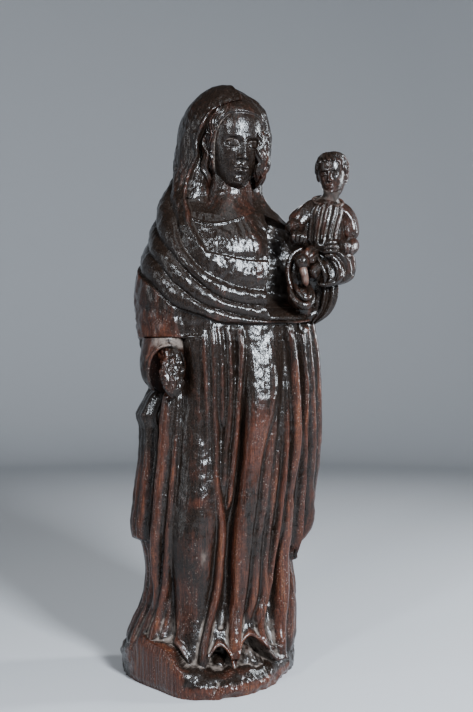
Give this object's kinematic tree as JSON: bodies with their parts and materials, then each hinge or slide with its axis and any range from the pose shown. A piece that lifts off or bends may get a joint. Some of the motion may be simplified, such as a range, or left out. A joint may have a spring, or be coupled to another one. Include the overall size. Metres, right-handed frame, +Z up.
{
  "type": "madonna statue",
  "caption": "Free-standing carved wooden figure of a veiled mother in a long pleated robe, carrying a small seated child on her left arm; the right hand is lost.",
  "frame": {"origin": "mouth of the bench spindle hole, in the middle of the underside of the terrace", "axes": "+Z up; the figure faces -Y; her left side, with the child, is at +X"},
  "size_m": [0.3864, 0.272, 1],
  "materials": {
    "dark_waxed_wood": "waxed, almost black, glossy on the ridges",
    "worn_red_wood": "waxed red-brown, worn on the ridges",
    "bare_wood": "bare, dry",
    "forged_iron": "forged, dark"
  },
  "bodies": {
    "root": {"trunk": "dark_waxed_wood", "back_board": "dark_waxed_wood", "back_board_nails": "forged_iron", "right_mantle_board": "worn_red_wood", "left_mantle_board": "worn_red_wood", "mantle_board_dowels": "bare_wood", "right_cuff": "dark_waxed_wood", "right_cuff_dowels": "bare_wood", "right_forearm": "dark_waxed_wood", "right_forearm_dowel": "bare_wood", "left_hand": "worn_red_wood", "left_hand_dowel": "bare_wood", "left_sleeve_end": "worn_red_wood", "left_sleeve_dowel": "bare_wood", "child_body": "worn_red_wood", "child_dowel": "bare_wood", "child_head": "dark_waxed_wood", "child_neck_dowel": "bare_wood", "crown_plug": "bare_wood"}
  },
  "joints": []
}
